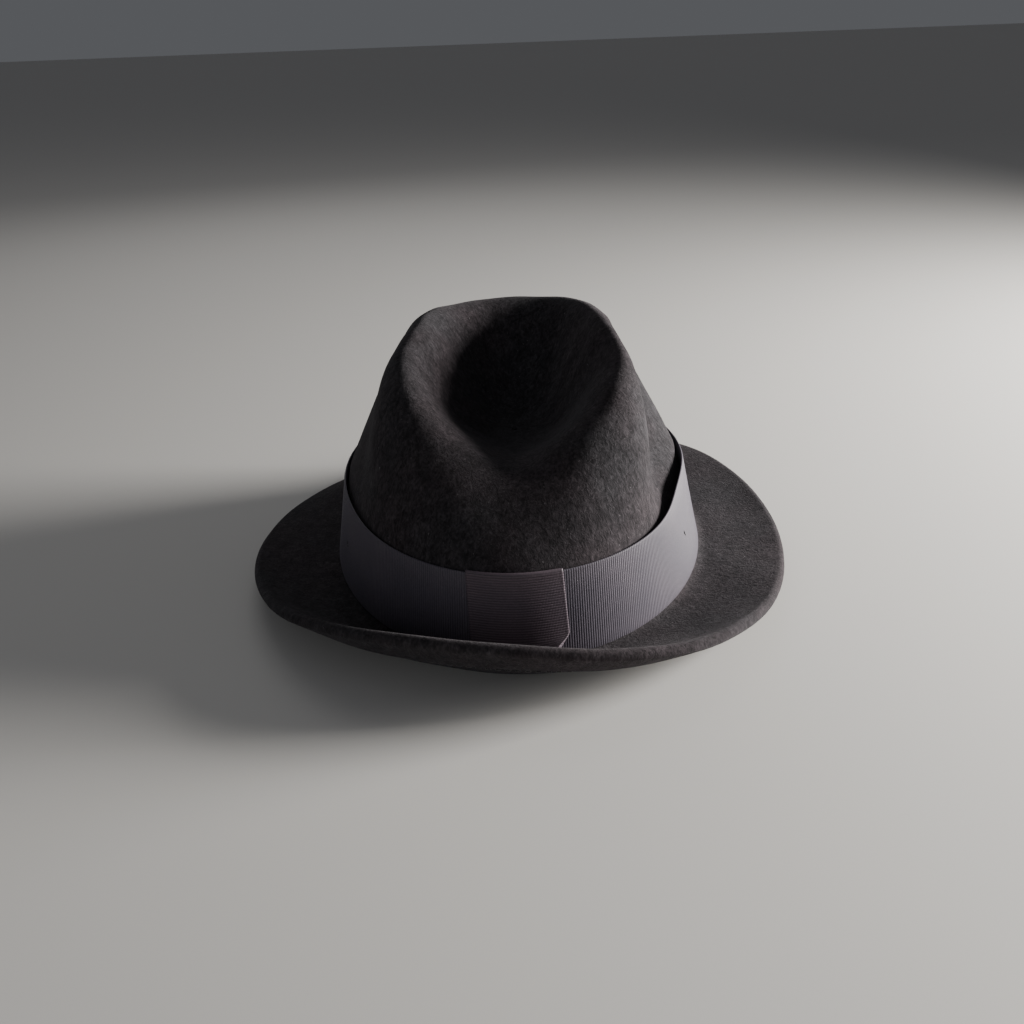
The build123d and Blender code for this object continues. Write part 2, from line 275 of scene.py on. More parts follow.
# -------------------- meshes
def mesh_piece(name, verts, faces, material, smooth=True, uvs=None):
    """Make an object from points and faces, each face a row of point numbers."""
    mesh = bpy.data.meshes.new(name)
    mesh.from_pydata(verts.reshape(-1, 3).tolist(), [], faces)
    if smooth:
        mesh.polygons.foreach_set("use_smooth", np.ones(len(mesh.polygons), bool))
    if uvs is not None:
        layer = mesh.uv_layers.new(name="UVMap")
        loops = np.empty(len(mesh.loops), np.int32)
        mesh.loops.foreach_get("vertex_index", loops)
        layer.data.foreach_set("uv", uvs.reshape(-1, 2)[loops].ravel())
    mesh.materials.append(material)
    mesh.update()
    piece = bpy.data.objects.new(name, mesh)
    bpy.context.scene.collection.objects.link(piece)
    return piece


def grid_faces(rows, columns, wrap_rows=False, wrap_columns=False):
    """Quads of a grid of points, rows by columns, joined end to end where it wraps."""
    r = np.arange(rows if wrap_rows else rows - 1)
    c = np.arange(columns if wrap_columns else columns - 1)
    r, c = np.meshgrid(r, c, indexing="ij")
    r2, c2 = (r + 1) % rows, (c + 1) % columns
    quads = np.stack([r * columns + c, r * columns + c2, r2 * columns + c2, r2 * columns + c], -1)
    return quads.reshape(-1, 4)


def turned_out(verts, faces):
    """Faces of a closed shell, reversed if its signed volume says that it is inside out."""
    volume = 0.0
    for size in {len(face) for face in faces}:
        ring = verts[np.array([face for face in faces if len(face) == size])]
        for i in range(1, size - 1):
            volume += np.einsum("ij,ij->", ring[:, 0], np.cross(ring[:, i], ring[:, i + 1]))
    return [face[::-1] for face in faces] if volume < 0 else faces


def shell(points, wrap_rows=False, wrap_columns=True, uvs=None):
    """Closed surface from a grid of points, as (points, faces, uvs).

    Rows that don't wrap end in a pole at each end, the mean of the end row.
    Columns that don't wrap are closed by one flat face at each end.
    """
    rows, columns = points.shape[:2]
    verts = points.reshape(-1, 3)
    uvs = np.zeros((rows, columns, 2)) if uvs is None else uvs
    flat_uvs = uvs.reshape(-1, 2)
    faces = grid_faces(rows, columns, wrap_rows, wrap_columns).tolist()
    if not wrap_rows:
        ring = np.arange(columns)
        after = (ring + 1) % columns
        end = (rows - 1) * columns
        low, high = np.full(columns, rows * columns), np.full(columns, rows * columns + 1)
        verts = np.concatenate([verts, points[[0, -1]].mean(1)])
        flat_uvs = np.concatenate([flat_uvs, uvs[[0, -1]].mean(1)])
        faces += np.stack([after, low, ring], -1).tolist()
        faces += np.stack([end + ring, high, end + after], -1).tolist()
    if not wrap_columns:
        faces.append((np.arange(rows) * columns).tolist())
        faces.append((np.arange(rows)[::-1] * columns + columns - 1).tolist())
    return verts, turned_out(verts, faces), flat_uvs


def piece_of(name, shells, material):
    """One object from one or more closed shells."""
    faces, start = [], 0
    for verts, shell_faces, _ in shells:
        faces += [[index + start for index in face] for face in shell_faces]
        start += len(verts)
    verts = np.concatenate([part[0] for part in shells])
    uvs = np.concatenate([part[2] for part in shells])
    return mesh_piece(name, verts, faces, material, uvs=uvs)


def settle(piece, slot, *nodes):
    """Let a piece stand for its nodes, fixed to the hat's root. The slot is not used."""
    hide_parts(*nodes)
    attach(piece, ROOT)


def bend(piece, slot, *nodes):
    """Let a piece stand for its nodes, with its placement baked into its mesh. The slot is not used."""
    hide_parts(*nodes)
    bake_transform(piece)


def layer_shell(azimuth, places, top, bottom, closed=True):
    """Closed layer between two depths in the felt, each a number or an array over the grid."""
    shape = (len(places), azimuth.shape[1])
    grid = np.broadcast_to(places[:, None], shape)
    top, bottom = np.broadcast_to(top, shape), np.broadcast_to(bottom, shape)
    points = np.concatenate([layer_point(azimuth, grid, top), layer_point(azimuth, grid, bottom)[::-1]])
    along = np.concatenate([grid, grid[::-1]])
    around = np.broadcast_to(azimuth * (HALF_WIDTH + HALF_LENGTH) / 2, along.shape)
    return shell(points, wrap_rows=True, wrap_columns=closed, uvs=np.stack([around, along], -1))


def tube(path, radius, sides=12):
    """Round cord along a closed path: circles square to the path, joined in a ring."""
    tangent = unit(np.roll(path, -1, 0) - np.roll(path, 1, 0))
    side = unit(np.cross(tangent, HAT_AXES[2]))
    lift = np.cross(side, tangent)
    angle = (np.arange(sides) / sides * TURN)[:, None, None]
    circle = np.cos(angle) * side + np.sin(angle) * lift
    return shell(path + radius * circle, wrap_rows=True)


def stitches(centres, along, up, length, width, thick):
    """Stitches laid along a line: rounded bars, five rings of six points and two tips each."""
    along, up = unit(along), unit(up)
    across = unit(np.cross(along, up))
    place = np.linspace(-1, 1, 7)[1:-1]
    bulge = np.sqrt(1 - np.abs(place) ** 4)[:, None]
    angle = np.arange(6) / 6 * TURN
    bar = np.zeros((5, 6, 3))
    bar[..., 0] = place[:, None] * length / 2
    bar[..., 1] = bulge * np.cos(angle) * width / 2
    bar[..., 2] = bulge * np.sin(angle) * thick / 2
    verts, faces, _ = shell(bar)
    verts[-2:, 0] = -length / 2, length / 2
    placed = centres[:, None] + np.einsum("vk,nkj->nvj", verts, np.stack([along, across, up], 1))
    start = np.arange(len(centres)) * len(verts)
    repeated = []
    for size in (3, 4):
        part = np.array([face for face in faces if len(face) == size])
        repeated += (part + start[:, None, None]).reshape(-1, size).tolist()
    placed = placed.reshape(-1, 3)
    return placed, turned_out(placed, repeated), np.zeros((len(placed), 2))


# -------------------- materials
class Shader:
    """A small helper that wires a Principled material from named nodes."""

    def __init__(self, name):
        self.material = bpy.data.materials.new(name)
        self.material.use_nodes = True
        self.nodes = self.material.node_tree.nodes
        self.links = self.material.node_tree.links
        self.bsdf = self.nodes["Principled BSDF"]

    def fill(self, node, **values):
        for socket, value in values.items():
            node.inputs[socket.replace("_", " ")].default_value = value
        return node

    def set(self, **values):
        self.fill(self.bsdf, **values)

    def add(self, kind, links=(), **settings):
        node = self.nodes.new(kind)
        for key, value in settings.items():
            setattr(node, key, value)
        for socket, source in links:
            self.links.new(source, node.inputs[socket])
        return node

    def mapped(self, source, scale, turn):
        mapping = self.add("ShaderNodeMapping", [("Vector", source)])
        return self.fill(mapping, Scale=scale, Rotation=turn).outputs["Vector"]

    def object_space(self, scale=(1, 1, 1), turn=(0, 0, 0)):
        return self.mapped(self.add("ShaderNodeTexCoord").outputs["Object"], scale, turn)

    def uv_space(self, scale=(1, 1, 1)):
        return self.mapped(self.add("ShaderNodeUVMap", uv_map="UVMap").outputs["UV"], scale, (0, 0, 0))

    def noise(self, vector, scale, detail=4.0, rough=0.55, distortion=0.0):
        node = self.add("ShaderNodeTexNoise", [("Vector", vector)])
        self.fill(node, Scale=scale, Detail=detail, Roughness=rough, Distortion=distortion)
        return node.outputs["Fac"]

    def wave(self, vector, direction, scale, distortion=0.0):
        node = self.add("ShaderNodeTexWave", [("Vector", vector)], bands_direction=direction)
        return self.fill(node, Scale=scale, Distortion=distortion).outputs["Fac"]

    def ramp(self, source, stops):
        node = self.add("ShaderNodeValToRGB", [("Fac", source)])
        band = node.color_ramp
        while len(band.elements) < len(stops):
            band.elements.new(0.5)
        for element, (place, colour) in zip(band.elements, stops):
            element.position = place
            element.color = (*colour, 1)
        return node.outputs["Color"]

    def shades(self, source, tone, low, high):
        return self.ramp(source, [(0.3, scaled(tone, low)), (0.7, scaled(tone, high))])

    def mix(self, factor, a, b, blend="MIX"):
        node = self.add("ShaderNodeMix", data_type="RGBA", blend_type=blend)
        if isinstance(factor, float):
            node.inputs["Factor"].default_value = factor
        else:
            self.links.new(factor, node.inputs["Factor"])
        for socket, value in (("A", a), ("B", b)):
            target = [s for s in node.inputs if s.name == socket and s.type == "RGBA"][0]
            if isinstance(value, tuple):
                target.default_value = (*value[:3], 1)
            else:
                self.links.new(value, target)
        return [s for s in node.outputs if s.type == "RGBA"][0]

    def math(self, operation, *values):
        node = self.add("ShaderNodeMath", operation=operation)
        for index, value in enumerate(values):
            if isinstance(value, (int, float)):
                node.inputs[index].default_value = value
            else:
                self.links.new(value, node.inputs[index])
        return node.outputs["Value"]

    def bump(self, height, distance, strength=1.0, normal=None):
        node = self.add("ShaderNodeBump", [("Height", height)])
        self.fill(node, Distance=distance, Strength=strength)
        if normal is not None:
            self.links.new(normal, node.inputs["Normal"])
        return node.outputs["Normal"]

    def finish(self, colour=None, normal=None, roughness=None):
        if colour is not None:
            self.links.new(colour, self.bsdf.inputs["Base Color"])
        if normal is not None:
            self.links.new(normal, self.bsdf.inputs["Normal"])
        if roughness is not None:
            self.links.new(roughness, self.bsdf.inputs["Roughness"])
        return self.material


def scaled(colour, factor):
    """A colour made lighter or darker."""
    return tuple(min(1.0, c * factor) for c in colour[:3])


def felt_material():
    """Blocked wool felt: short nap with streaks brightened as painted sheen, warm and cool flecks, soft
    sheen.
    """
    tone = bpy.context.scene.hat_colours.felt
    felt = Shader("charcoal felt")
    felt.set(Roughness=0.95, Sheen_Weight=0.10, Sheen_Roughness=0.45, Specular_IOR_Level=0.12)
    felt.set(Sheen_Tint=(0.6, 0.57, 0.6, 1))
    plain = felt.object_space()
    streaks = felt.object_space(scale=(1, 1, 0.35), turn=(0.25, 0.1, 0))
    broad = felt.noise(plain, 22, 3.0)
    patch = felt.noise(plain, 160, 4.0, 0.6)
    tufts = felt.noise(streaks, 380, 4.0, 0.6, 1.2)
    nap = felt.noise(streaks, 950, 5.0, 0.65, 0.8)
    lint = felt.noise(felt.object_space(scale=(1, 1, 0.3)), 1300, 2.0, 0.5)
    warm = (tone[0] * 1.06, tone[1] * 0.96, tone[2] * 1.0)
    cool = (tone[0] * 0.92, tone[1] * 0.94, tone[2] * 0.97)
    colour = felt.mix(felt.ramp(broad, [(0.38, (0, 0, 0)), (0.62, (1, 1, 1))]), cool, warm)
    # the tuft and nap streaks are brightened as painted sheen on the nap; the patches are the felt's own
    # blotches
    patches_and_sheen_streaks = ((0.45, patch, 0.6, 1.4), (0.45, tufts, 0.45, 1.7), (0.5, nap, 0.35, 2.0))
    for share, layer, low, high in patches_and_sheen_streaks:
        shades = felt.ramp(layer, [(0.38, (low, low, low)), (0.64, (high, high, high))])
        colour = felt.mix(share, colour, felt.mix(1.0, colour, shades, "MULTIPLY"))
    fleck = felt.ramp(lint, [(0.73, (0, 0, 0)), (0.77, (1, 1, 1))])
    colour = felt.mix(fleck, colour, scaled(tone, 5.5))
    height = felt.math("ADD", felt.math("MULTIPLY", nap, 0.6), felt.math("MULTIPLY", tufts, 0.8))
    normal = felt.bump(height, 0.55 * MM, 0.9)
    return felt.finish(colour, normal)


def ribbon_material(name, tone, upright, pitch):
    """Grosgrain: painted shade in the valleys |sin(pi x / pitch)| between the ribs, fine weave and a satin
    gloss.
    """
    ribbon = Shader(name)
    ribbon.set(Roughness=0.55, Sheen_Weight=0.2, Sheen_Roughness=0.35, Specular_IOR_Level=0.35)
    ribbon.set(Sheen_Tint=(0.8, 0.76, 0.85, 1))
    cloth = ribbon.uv_space()
    parts = ribbon.add("ShaderNodeSeparateXYZ", [("Vector", cloth)])
    phase = ribbon.math("MULTIPLY", parts.outputs["X" if upright else "Y"], math.pi / pitch)
    rib = ribbon.math("ABSOLUTE", ribbon.math("SINE", phase))
    # painted shade: the colour darkens to 0.3 in the valleys between the ribs
    painted_valley_shade = ribbon.ramp(rib, [(0.0, (0.3, 0.3, 0.3)), (0.55, (1, 1, 1))])
    weave = ribbon.wave(cloth, "Y" if upright else "X", 500.0, 1.0)
    cloudy = ribbon.noise(ribbon.object_space(), 45, 3.0)
    fine = ribbon.noise(ribbon.object_space(), 1400, 3.0)
    worn = ribbon.ramp(cloudy, [(0.35, (0, 0, 0)), (0.65, (1, 1, 1))])
    colour = ribbon.mix(worn, (tone[0] * 0.85, tone[1] * 0.88, tone[2] * 0.92), scaled(tone, 1.1))
    colour = ribbon.mix(0.3, colour, ribbon.shades(fine, tone, 0.6, 1.5))
    colour = ribbon.mix(1.0, colour, painted_valley_shade, "MULTIPLY")
    normal = ribbon.bump(weave, 0.05 * MM, 0.5)
    normal = ribbon.bump(fine, 0.06 * MM, 0.5, normal)
    return ribbon.finish(colour, normal)


def thread_material(name, tone, gloss=0.5):
    """Twisted thread: diagonal strands along the stitch and a soft gloss."""
    thread = Shader(name)
    thread.set(Roughness=gloss, Sheen_Weight=0.3, Specular_IOR_Level=0.4)
    strands = thread.wave(thread.object_space(), "DIAGONAL", 700.0)
    colour = thread.ramp(strands, [(0.2, scaled(tone, 0.55)), (0.8, scaled(tone, 1.3))])
    return thread.finish(colour, thread.bump(strands, 0.1 * MM, 0.6))


def leather_material():
    """Sweatband leather: fine pebble grain, pores and a worn, slightly glossy face."""
    tone = bpy.context.scene.hat_colours.leather
    leather = Shader("sweatband leather")
    leather.set(Specular_IOR_Level=0.45, Coat_Weight=0.08, Coat_Roughness=0.4)
    place = leather.object_space()
    cells = leather.add("ShaderNodeTexVoronoi", [("Vector", place)], feature="DISTANCE_TO_EDGE")
    leather.fill(cells, Scale=1100.0)
    wear = leather.noise(place, 60, 5.0)
    fine = leather.noise(place, 600, 4.0)
    worn = [(place, scaled(tone, factor)) for place, factor in ((0.3, 0.72), (0.55, 1.0), (0.8, 1.35))]
    colour = leather.mix(0.25, leather.ramp(wear, worn), leather.shades(fine, tone, 0.6, 1.4))
    rough = leather.ramp(wear, [(0.3, (0.55, 0.55, 0.55)), (0.75, (0.38, 0.38, 0.38))])
    grain = leather.ramp(cells.outputs["Distance"], [(0.0, (0, 0, 0)), (0.25, (1, 1, 1))])
    normal = leather.bump(grain, 0.08 * MM, 0.7)
    normal = leather.bump(fine, 0.12 * MM, 0.5, normal)
    return leather.finish(colour, normal, rough)


def satin_material():
    """Lining satin: fine warp threads, a long soft highlight and faint slubs."""
    tone = bpy.context.scene.hat_colours.lining
    satin = Shader("lining satin")
    satin.set(Roughness=0.32, Sheen_Weight=0.25, Specular_IOR_Level=0.55, Anisotropic=0.5)
    warp = satin.wave(satin.uv_space(), "X", 900.0, 2.0)
    slubs = satin.noise(satin.uv_space(scale=(1, 12, 1)), 90, 3.0)
    colour = satin.shades(slubs, tone, 0.8, 1.25)
    return satin.finish(colour, satin.bump(warp, 0.03 * MM, 0.4))


def bow_material():
    """Narrow satin ribbon: black, glossy, with fine threads along it."""
    bow = Shader("bow satin")
    bow.set(Roughness=0.35, Sheen_Weight=0.2, Specular_IOR_Level=0.5)
    threads = bow.noise(bow.object_space(scale=(1, 6, 6)), 500, 3.0)
    colour = bow.ramp(threads, [(0.3, (0.012, 0.011, 0.013)), (0.7, (0.035, 0.032, 0.037))])
    return bow.finish(colour, bow.bump(threads, 0.05 * MM, 0.5))


def woven_label_material():
    """Woven tag: off-white yarns crossing each other."""
    label = Shader("woven label")
    label.set(Roughness=0.8, Sheen_Weight=0.2)
    cloth = label.object_space()
    weave = label.math("MULTIPLY", label.wave(cloth, "X", 500.0), label.wave(cloth, "Z", 500.0))
    colour = label.ramp(weave, [(0.1, (0.52, 0.5, 0.45)), (0.6, (0.8, 0.78, 0.72))])
    return label.finish(colour, label.bump(weave, 0.08 * MM, 0.6))


# -------------------- settings
def colour_setting(name, text, default):
    """A colour setting."""
    return FloatVectorProperty(name=name, description=text, subtype="COLOR", default=default, min=0, max=1)


def length_setting(name, text, default):
    """A length setting."""
    return FloatProperty(name=name, description=text, default=default, unit="LENGTH")


class HatColours(PropertyGroup):
    """Colours of the hat's pieces."""

    felt: colour_setting("Felt", "Base colour of the felt", (0.030, 0.0272, 0.0285))
    ribbon: colour_setting("Ribbon", "Base colour of the band", (0.085, 0.073, 0.090))
    keeper: colour_setting("Keeper", "Base colour of the keeper", (0.100, 0.074, 0.088))
    leather: colour_setting("Sweatband", "Base colour of the sweatband leather", (0.16, 0.095, 0.06))
    lining: colour_setting("Lining", "Base colour of the satin lining", (0.10, 0.095, 0.11))


class HatSizes(PropertyGroup):
    """Sizes of the visible pieces."""

    felt_columns: IntProperty(name="Felt columns", description="Columns of felt mesh round the hat",
                              default=420, min=60)
    rib_pitch: length_setting("Rib pitch", "Distance between two ribs of the band", 1.05 * MM)
    keeper_pitch: length_setting("Keeper rib pitch", "Distance between two ribs of the keeper", 1.1 * MM)
    rib_depth: length_setting("Rib depth", "Height of a rib", 0.16 * MM)
    ribbon_thickness: length_setting("Ribbon thickness", "Thickness of the grosgrain", 0.7 * MM)
    stitch_pitch: length_setting("Stitch pitch", "Distance between two stitches of the brim", 3.6 * MM)
    sweatband_height: length_setting("Sweatband height", "Height of the sweatband", 36.0 * MM)


# -------------------- felt
BRIM_ROWS = {"outer": 12.5 * MM, "inner": 15.0 * MM}  # stitch rows, measured from the rim
BRIM_GROOVE = 0.28 * MM
ROW_LENGTH = 0.72  # one stitch row round the brim


def relief(azimuth, station):
    """Hand-shaped unevenness: a few long waves of 0.2 to 0.5 mm, fading out at the band."""
    waves = (
        0.35 * np.sin(3 * azimuth + 40 * station + 0.6)
        + 0.25 * np.sin(5 * azimuth - 70 * station + 1.9)
        + 0.18 * np.sin(9 * azimuth + 110 * station)
        + 0.10 * np.sin(17 * azimuth - 60 * station + 0.5)
    )
    away = smooth_step(S_BAND, S_BAND + 12 * MM, station) + smooth_step(4 * MM, 16 * MM, -station)
    away = away * smooth_step(S_CENTRE, S_CREST + 15 * MM, station)
    return waves * away * MM


def felt_skin(azimuth):
    """Rows of the whole felt: dent, dome, wall, brim, round the rim, underside, inside, dent."""
    rim_radius = RIM / 2
    edge = S_EDGE + rim_radius
    outer = np.concatenate(
        [
            np.linspace(S_CENTRE - POLE_GAP, S_CREST, 46)[:-1],
            np.linspace(S_CREST, S_BAND, 46)[:-1],
            np.linspace(S_BAND, S_BREAK, 12)[:-1],
            np.linspace(S_BREAK, -S_BREAK, 12)[:-1],
            np.linspace(-S_BREAK, edge, 34),
        ]
    )[:, None]
    top = felt_point(azimuth, outer) - felt_normal(azimuth, outer) * relief(azimuth, outer)[..., None]
    # half circle round the rim
    turn = np.linspace(0, np.pi, 14)[1:-1, None, None]
    normal = felt_normal(azimuth, np.full((1, 1), edge))
    before = felt_point(azimuth, np.full((1, 1), edge + 1 * MM))
    out = unit(felt_point(azimuth, np.full((1, 1), edge)) - before)
    round_rim = top[-1:] + rim_radius * (normal * (1 - np.cos(turn)) + out * np.sin(turn))
    inner = outer[::-1]
    depth = underside_depth(inner)
    for row in BRIM_ROWS.values():
        depth = depth - BRIM_GROOVE * np.exp(-(((inner - S_EDGE - row) / (0.7 * MM)) ** 2))
    under = top[::-1] + felt_normal(azimuth, inner) * depth[..., None]
    return np.concatenate([top, round_rim, under])


class HAT_OT_felt(Operator):
    """Blocked felt body with crown, dent, pinches and a curled brim with a folded rim."""

    bl_idname = "hat.felt"
    bl_label = "Felt"

    def execute(self, context):
        columns = context.scene.hat_sizes.felt_columns
        azimuth = (np.arange(columns) / columns * TURN)[None]
        piece = piece_of("felt", [shell(felt_skin(azimuth))], felt_material())
        bend(piece, "felt", "felt_body", "brim_front")
        return {"FINISHED"}


# -------------------- hat band
BAND_START = 1.6 * MM
BAND_LOW_GAP = 1.2 * MM  # from the felt to the band, at its lower and upper edges
BAND_HIGH_GAP = 0.35 * MM
RIB_STEPS = 6  # rows of mesh to a rib
KEEPER_GAP = 0.25 * MM


def band_point(azimuth, up, out):
    """Straight lines from an oval at the break to one that cuts across each pinch; up is 0 to 1."""
    base = break_radius(azimuth)
    low = base + BAND_LOW_GAP
    high = base - BAND_LEAN - BAND_CHORD * pinch(azimuth, 0) + BAND_HIGH_GAP
    lift = BAND_HEIGHT - BAND_START
    slope = np.hypot(high - low, lift)
    radius = low + (high - low) * up + out * lift / slope
    height = BAND_START + lift * up - out * (high - low) / slope
    return to_world(radius, azimuth, height)


def ribs(distance, pitch):
    """Rounded ribs with narrow valleys: |sin(pi x / pitch)|^0.7."""
    return np.abs(np.sin(np.pi * distance / pitch)) ** 0.7


def oval_walk():
    """Azimuths once round the break's oval, and the length walked to each."""
    azimuth = np.linspace(0, TURN, 4001)
    line = to_world(break_radius(azimuth), azimuth, 0 * azimuth)
    return azimuth, np.concatenate([[0], np.cumsum(np.linalg.norm(np.diff(line, axis=0), axis=1))])


class HAT_OT_band(Operator):
    """Grosgrain hat band with upright ribs and plain selvages."""

    bl_idname = "hat.band"
    bl_label = "Hat band"

    def execute(self, context):
        sizes = context.scene.hat_sizes
        round_azimuth, walked = oval_walk()
        length = walked[-1]
        count = int(length / sizes.rib_pitch)
        steps = np.linspace(0, length, count * RIB_STEPS, endpoint=False)
        azimuth = np.interp(steps, walked, round_azimuth)
        rib = ribs(np.arange(count * RIB_STEPS), RIB_STEPS) * sizes.rib_depth
        up = np.array([0, 0.006, 0.02, 0.2, 0.4, 0.6, 0.8, 0.98, 0.994, 1])[:, None]
        edge = np.array([0.55, 0.9, 1, 1, 1, 1, 1, 1, 0.9, 0.55])[:, None]
        thick = sizes.ribbon_thickness
        outer = band_point(azimuth, up, (thick + rib) * edge)
        inner = band_point(azimuth, up[::-1], thick * (1 - edge[::-1]))
        points = np.concatenate([outer, inner])
        u = np.broadcast_to(steps, points.shape[:2])
        v = np.broadcast_to(np.concatenate([up, up[::-1]]) * BAND_HEIGHT, points.shape[:2])
        band = shell(points, wrap_rows=True, uvs=np.stack([u, v], -1))
        tone = context.scene.hat_colours.ribbon
        cloth = ribbon_material("band grosgrain", tone, True, length / count)
        piece = piece_of("ribbon_band", [band], cloth)
        settle(piece, "ribbon", "ribbon_band")
        return {"FINISHED"}


KEEPER_MIDDLE = math.radians(270)
KEEPER_HALF = math.radians(11.4)
KEEPER_SLANT = math.radians(1.2)
KEEPER_CORNER = 0.6 * MM


class HAT_OT_keeper(Operator):
    """Keeper loop over the join of the band: level ribs, the lower right corner drawn in."""

    bl_idname = "hat.keeper"
    bl_label = "Keeper"

    def execute(self, context):
        sizes = context.scene.hat_sizes
        thick = sizes.ribbon_thickness
        face = thick + sizes.rib_depth + KEEPER_GAP
        height = BAND_HEIGHT - BAND_START
        count = int(height / sizes.keeper_pitch)
        # the ribbon's way: over the top edge, down the face, and round under the lower edge
        rows = np.linspace(1, 0, count * RIB_STEPS + 1)
        fold = np.linspace(0, 1, 7)[:-1]
        up = np.concatenate([1 + 0.02 * np.sin(fold * np.pi), rows, -0.02 * np.sin(fold * np.pi)])[:, None]
        out = np.concatenate([face * fold, np.full(len(rows), face), face * fold[::-1]])[:, None]
        rib = np.pad(ribs(np.arange(len(rows)), RIB_STEPS), len(fold))[:, None] * sizes.rib_depth
        across = np.linspace(-1, 1, 61)[None]
        # the lower right corner is drawn in and stands off the band
        corner = smooth_step(0.30, 0.02, up) * smooth_step(0.4, 1.0, across)
        selvage = 0.06 * MM * smooth_step(0.95, 0.97, np.abs(across))
        azimuth = KEEPER_MIDDLE + KEEPER_HALF * (across - 0.30 * corner) + KEEPER_SLANT * (0.5 - up)
        off = 0.06 * MM * (1 + 2 * np.sin(3.1 * across + 2.2 * up)) + KEEPER_CORNER * corner
        top = band_point(azimuth, up + 0.06 * corner, out + off + rib + selvage)
        under = band_point(azimuth, up + 0.06 * corner, out - thick + off)
        points = np.concatenate([top, under[::-1]])
        u = np.broadcast_to(across * KEEPER_HALF * HALF_LENGTH, top.shape[:2])
        v = np.broadcast_to(up * height, top.shape[:2])
        uvs = np.stack([np.concatenate([u, u[::-1]]), np.concatenate([v, v[::-1]])], -1)
        loop = shell(points, wrap_rows=True, wrap_columns=False, uvs=uvs)
        tone = context.scene.hat_colours.keeper
        cloth = ribbon_material("keeper grosgrain", tone, False, height / count)
        piece = piece_of("ribbon_keeper", [loop], cloth)
        settle(piece, "ribbon", "ribbon_keeper")
        return {"FINISHED"}


class HAT_OT_tacks(Operator):
    """Small hand stitches that hold the band to the felt at the sides."""

    bl_idname = "hat.tacks"
    bl_label = "Tacks"

    def execute(self, context):
        thread = thread_material("tacking thread", (0.02, 0.018, 0.02))
        out = context.scene.hat_sizes.ribbon_thickness + 0.2 * MM
        for name, degrees in (("ribbon_tack_left", 207), ("ribbon_tack_right", 333)):
            azimuth = math.radians(degrees) + np.array([-0.004, 0.004])
            centre = band_point(azimuth, np.array([0.5, 0.47]), out)
            up = band_point(azimuth, 0.6, out) - band_point(azimuth, 0.4, out)
            face = band_point(azimuth, 0.5, out + MM) - centre
            bars = stitches(centre, up, face, 1.9 * MM, 0.5 * MM, 0.5 * MM)
            piece = piece_of(name, [bars], thread)
            settle(piece, "ribbon_thread", name)
        return {"FINISHED"}


# -------------------- brim stitching
class HAT_OT_brim_stitches(Operator):
    """Two rows of stitches that hold down the folded edge of the brim, on its underside."""

    bl_idname = "hat.brim_stitches"
    bl_label = "Brim stitches"

    def execute(self, context):
        thread = thread_material("brim thread", (0.018, 0.016, 0.016))
        for row, from_rim in BRIM_ROWS.items():
            station = S_EDGE + from_rim
            count = int(ROW_LENGTH / context.scene.hat_sizes.stitch_pitch)
            azimuth = np.arange(count) / count * TURN
            depth = underside_depth(station) - BRIM_GROOVE * 0.6
            centre = layer_point(azimuth, station, depth)
            along = run_along(azimuth, station, depth, 0.002)
            bars = stitches(centre, along, felt_normal(azimuth, station),
                            context.scene.hat_sizes.stitch_pitch * 0.74, 0.5 * MM, 0.45 * MM)
            piece = piece_of(f"brim_stitches_{row}", [bars], thread)
            bend(piece, "felt_thread", f"brim_thread_{row}", f"brim_front_thread_{row}")
        return {"FINISHED"}


# -------------------- sweatband
INSIDE = FELT + 0.5 * MM
SWEATBAND = 0.9 * MM
SWEATBAND_FOOT = 5.0 * MM  # stations of the lower edge, the reed, the stitching and the bow
REED_STATION = 3.4 * MM
SEAM_STATION = 7.0 * MM
BOW_STATION = 14.0 * MM
REED_RADIUS = 1.1 * MM


class HAT_OT_sweatband(Operator):
    """Leather sweatband with a rolled top edge, a lapped seam at the rear, a reed and its stitching."""

    bl_idname = "hat.sweatband"
    bl_label = "Sweatband"

    def execute(self, context):
        top = context.scene.hat_sizes.sweatband_height
        roll = top - 1.2 * MM
        azimuth = (np.arange(300) / 300 * TURN)[None]
        places = np.concatenate([np.linspace(SWEATBAND_FOOT, roll, 26), np.linspace(roll, top, 6)[1:]])
        rounding = 0.5 * SWEATBAND * (1 - np.sqrt(1 - smooth_step(roll, top, places) ** 2))
        pressed = 0.14 * MM * np.exp(-(((places - top + 3.0 * MM) / (0.5 * MM)) ** 2))
        give = 0.12 * MM * np.sin(7 * azimuth + 90 * places[:, None]) + 0.1 * MM * np.sin(11 * azimuth)
        lap = 0.55 * MM * smooth_step(4.73, 4.735, azimuth) * (1 - smooth_step(4.80, 4.84, azimuth))
        outer = INSIDE + give * 0.5 + rounding[:, None] + 0.1 * MM
        inner = INSIDE + SWEATBAND + give + lap - (rounding + pressed)[:, None]
        band = layer_shell(azimuth, places, outer, inner)
        reed = tube(layer_point(azimuth[0], REED_STATION, INSIDE + REED_RADIUS), REED_RADIUS)
        # zigzag stitches: every second one slants the other way
        spots = np.arange(200) / 200 * TURN
        slant = np.where(np.arange(200) % 2 == 0, 1.0, -1.0)[:, None] * 0.9 * MM
        near = SEAM_STATION + np.array([-1, 1]) * MM
        seam = layer_point(spots, SEAM_STATION, INSIDE + SWEATBAND + 0.15 * MM)
        upward = unit(layer_point(spots, near[1], INSIDE) - layer_point(spots, near[0], INSIDE))
        way = unit(run_along(spots, SEAM_STATION, INSIDE, 0.004)) * 1.9 * MM + upward * slant
        zigzag = stitches(seam, way, felt_normal(spots, SEAM_STATION), 2.9 * MM, 0.45 * MM, 0.4 * MM)
        leather = leather_material()
        thread = thread_material("leather thread", (0.05, 0.03, 0.02))
        for name, part, material, slot in (
            ("sweatband", band, leather, "sweatband"),
            ("sweatband_reed", reed, leather, "reed"),
            ("sweatband_stitching", zigzag, thread, "sweatband_thread"),
        ):
            settle(piece_of(name, [part], material), slot, name)
        return {"FINISHED"}


